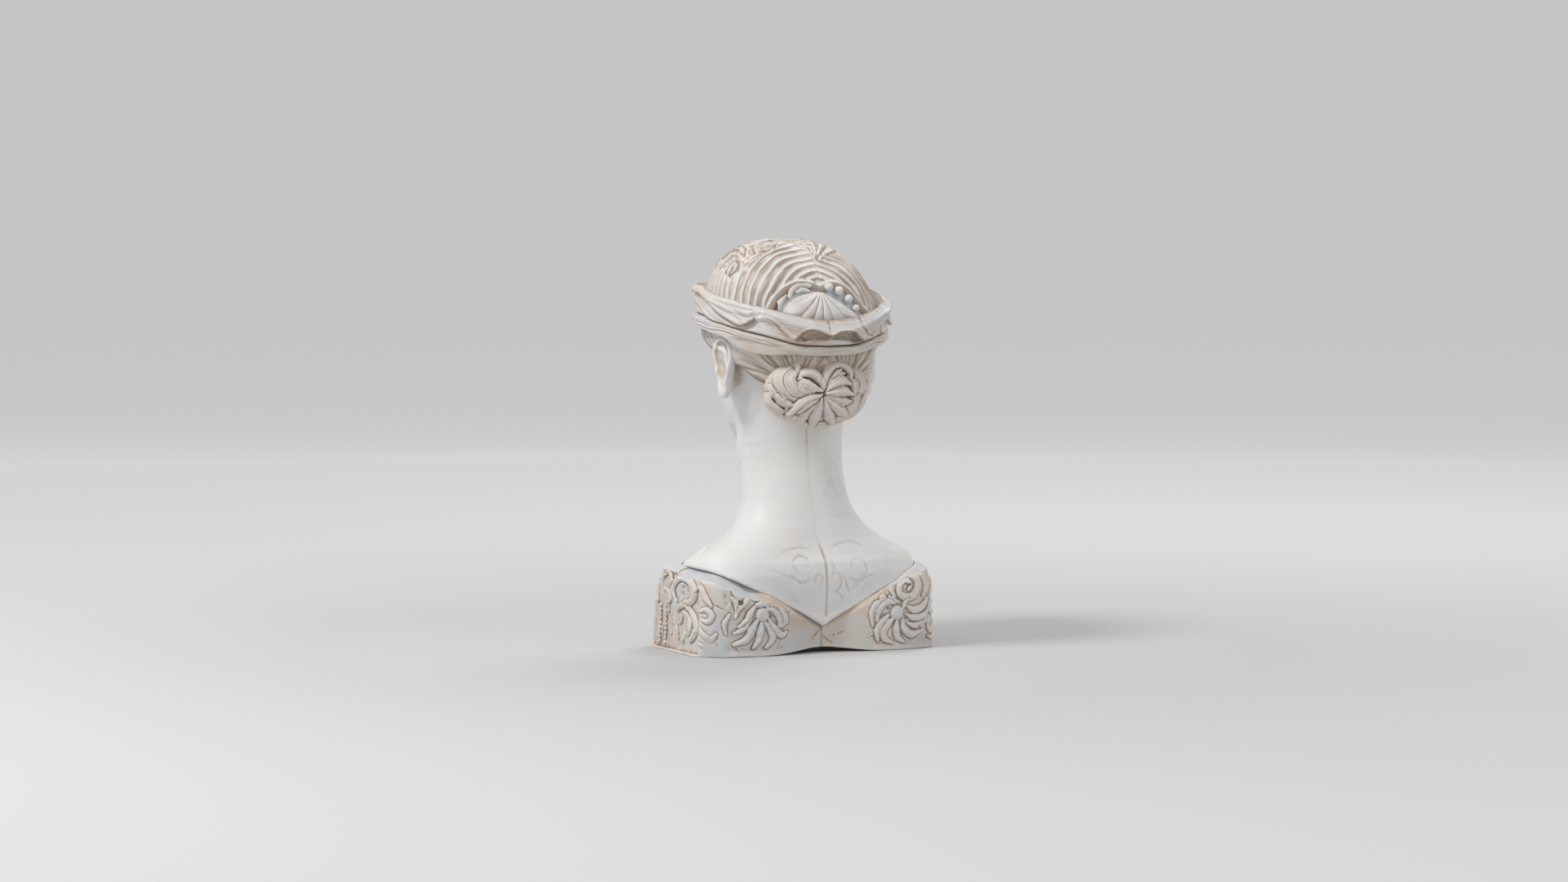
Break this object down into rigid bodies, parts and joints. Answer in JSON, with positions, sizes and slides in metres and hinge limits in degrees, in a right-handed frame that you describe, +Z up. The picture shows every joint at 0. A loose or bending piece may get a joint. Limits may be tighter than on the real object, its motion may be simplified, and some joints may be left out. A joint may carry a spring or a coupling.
{
  "type": "marble bust",
  "caption": "Carved marble bust of a woman with bound hair and a knot on the nape, pieced from separate blocks, on a flat bed with a pin bush.",
  "frame": {"origin": "centre of the mouth of the socle bush, in the flat bed that the bust stands on", "axes": "+Z up through the crown of the head, -Y the way the chest faces, +X towards the sitter's left shoulder"},
  "size_m": [0.2698, 0.2249, 0.42],
  "materials": {
    "skin_marble": "satin",
    "hair_marble": "satin",
    "bodice_marble": "satin",
    "bronze": "satin",
    "iron": "matte"
  },
  "bodies": {
    "root": {"head_and_neck": "skin_marble", "hair_cap": "hair_marble", "upper_fillet": "hair_marble", "lower_fillet": "hair_marble", "chignon": "hair_marble", "shell_comb": "hair_marble", "bodice_left": "bodice_marble", "bodice_right": "bodice_marble", "back_cramp": "iron", "front_cramp": "iron", "bodice_dowels": "bronze", "cap_dowels": "bronze", "chignon_dowel": "bronze", "comb_dowel": "bronze", "upper_fillet_pins": "bronze", "lower_fillet_pins": "bronze", "socle_bush": "bronze"}
  },
  "joints": []
}
